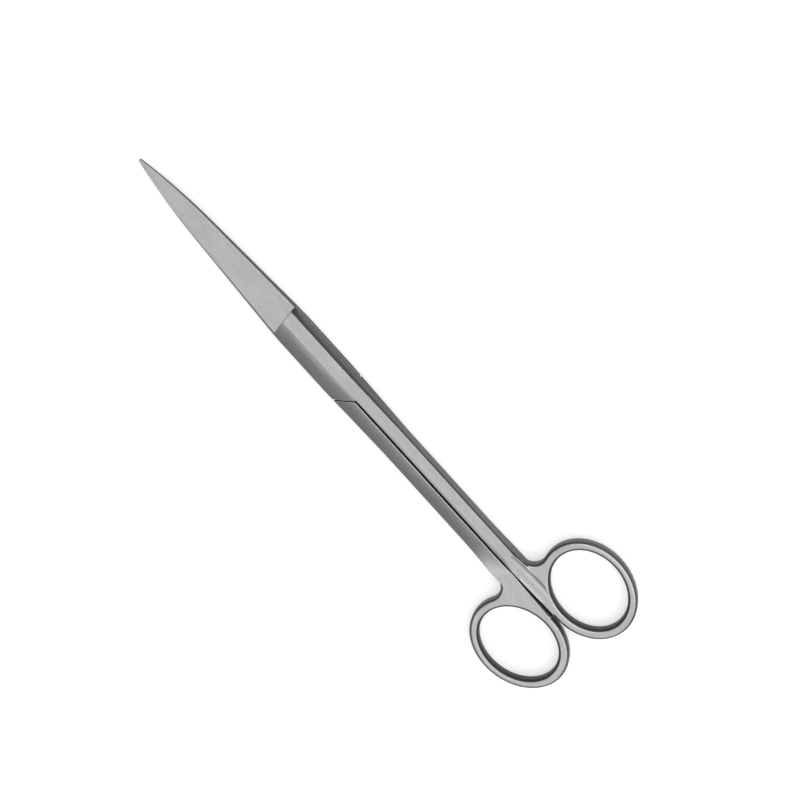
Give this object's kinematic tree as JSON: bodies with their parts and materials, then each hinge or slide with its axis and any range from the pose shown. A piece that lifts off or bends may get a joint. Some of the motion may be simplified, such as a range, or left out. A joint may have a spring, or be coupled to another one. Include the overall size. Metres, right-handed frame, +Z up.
{
  "type": "surgical scissors",
  "caption": "Straight surgical scissors with sharp points, a screwed lap joint, slender shanks and oval finger rings, lying shut.",
  "frame": {"origin": "on the resting plane, halfway along the length, under the parting line of the two halves", "axes": "+X towards the finger ring of the front half, +Y along the shut blades to their points, +Z up"},
  "size_m": [0.0498, 0.18, 0.0056],
  "materials": {
    "satin_steel": "satin stainless steel, forged, ground along its length and tumbled",
    "screw_steel": "satin stainless steel, turned and ground flush"
  },
  "bodies": {
    "rear_body": {"rear_half": "satin_steel"},
    "front_body": {"front_half": "satin_steel", "pivot_screw": "screw_steel"}
  },
  "joints": [
    {"name": "pivot", "type": "hinge", "parent": "rear_body", "child": "front_body", "pos_m": [0, 0.0197, 0.0028], "axis": [0, 0, 1], "range_deg": [0, 65]}
  ]
}
